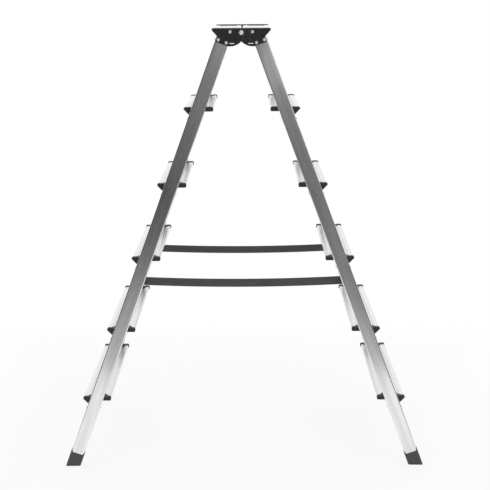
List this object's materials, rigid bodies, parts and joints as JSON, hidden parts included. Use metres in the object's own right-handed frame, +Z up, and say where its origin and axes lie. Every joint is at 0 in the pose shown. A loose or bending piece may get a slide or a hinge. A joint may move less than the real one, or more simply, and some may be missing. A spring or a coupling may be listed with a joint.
{
  "type": "trestle ladder",
  "caption": "Folding trestle ladder: tapered box-tube sections with ribbed treads, joined under a flat platform by lapped hinge heads, with webbing spread straps and sleeve feet.",
  "frame": {"origin": "on the floor, under the hinge axis, midway between the two side frames", "axes": "+Z up, +X across the spread from the left section to the right one, +Y along the treads from the near side to the far side"},
  "size_m": [1.0878, 0.499, 1.2942],
  "materials": {
    "stile_aluminium": "drawn, mill finish",
    "tread_aluminium": "extruded, mill finish",
    "rivet_aluminium": "satin",
    "pin_steel": "zinc plated",
    "head_plastic": "moulded, satin",
    "cap_plastic": "moulded, satin",
    "foot_rubber": "moulded, matt",
    "strap_webbing": "woven polyester webbing"
  },
  "bodies": {
    "left_frame": {"left_near_stile": "stile_aluminium", "left_far_stile": "stile_aluminium", "left_tread_1": "tread_aluminium", "left_tread_2": "tread_aluminium", "left_tread_3": "tread_aluminium", "left_tread_4": "tread_aluminium", "left_tread_5": "tread_aluminium", "left_top_tread": "tread_aluminium", "left_tread_1_near_cap": "cap_plastic", "left_tread_1_far_cap": "cap_plastic", "left_tread_2_near_cap": "cap_plastic", "left_tread_2_far_cap": "cap_plastic", "left_tread_3_near_cap": "cap_plastic", "left_tread_3_far_cap": "cap_plastic", "left_tread_4_near_cap": "cap_plastic", "left_tread_4_far_cap": "cap_plastic", "left_tread_5_near_cap": "cap_plastic", "left_tread_5_far_cap": "cap_plastic", "left_near_hinge_head": "head_plastic", "left_far_hinge_head": "head_plastic", "left_hinge_rivets": "rivet_aluminium", "left_tread_rivets": "rivet_aluminium", "left_near_foot": "foot_rubber", "left_far_foot": "foot_rubber", "near_strap": "strap_webbing", "far_strap": "strap_webbing", "left_strap_rivets": "rivet_aluminium"},
    "right_frame": {"right_near_stile": "stile_aluminium", "right_far_stile": "stile_aluminium", "right_tread_1": "tread_aluminium", "right_tread_2": "tread_aluminium", "right_tread_3": "tread_aluminium", "right_tread_4": "tread_aluminium", "right_tread_5": "tread_aluminium", "right_top_tread": "tread_aluminium", "right_tread_1_near_cap": "cap_plastic", "right_tread_1_far_cap": "cap_plastic", "right_tread_2_near_cap": "cap_plastic", "right_tread_2_far_cap": "cap_plastic", "right_tread_3_near_cap": "cap_plastic", "right_tread_3_far_cap": "cap_plastic", "right_tread_4_near_cap": "cap_plastic", "right_tread_4_far_cap": "cap_plastic", "right_tread_5_near_cap": "cap_plastic", "right_tread_5_far_cap": "cap_plastic", "right_near_hinge_head": "head_plastic", "right_far_hinge_head": "head_plastic", "near_hinge_pin": "pin_steel", "far_hinge_pin": "pin_steel", "right_hinge_rivets": "rivet_aluminium", "right_tread_rivets": "rivet_aluminium", "right_near_foot": "foot_rubber", "right_far_foot": "foot_rubber", "right_strap_rivets": "rivet_aluminium"}
  },
  "joints": [
    {"name": "fold", "type": "hinge", "parent": "left_frame", "child": "right_frame", "pos_m": [0, 0, 1.28225], "axis": [0, 1, 0], "range_deg": [0, 40], "deforming": ["near_strap", "far_strap"]}
  ]
}
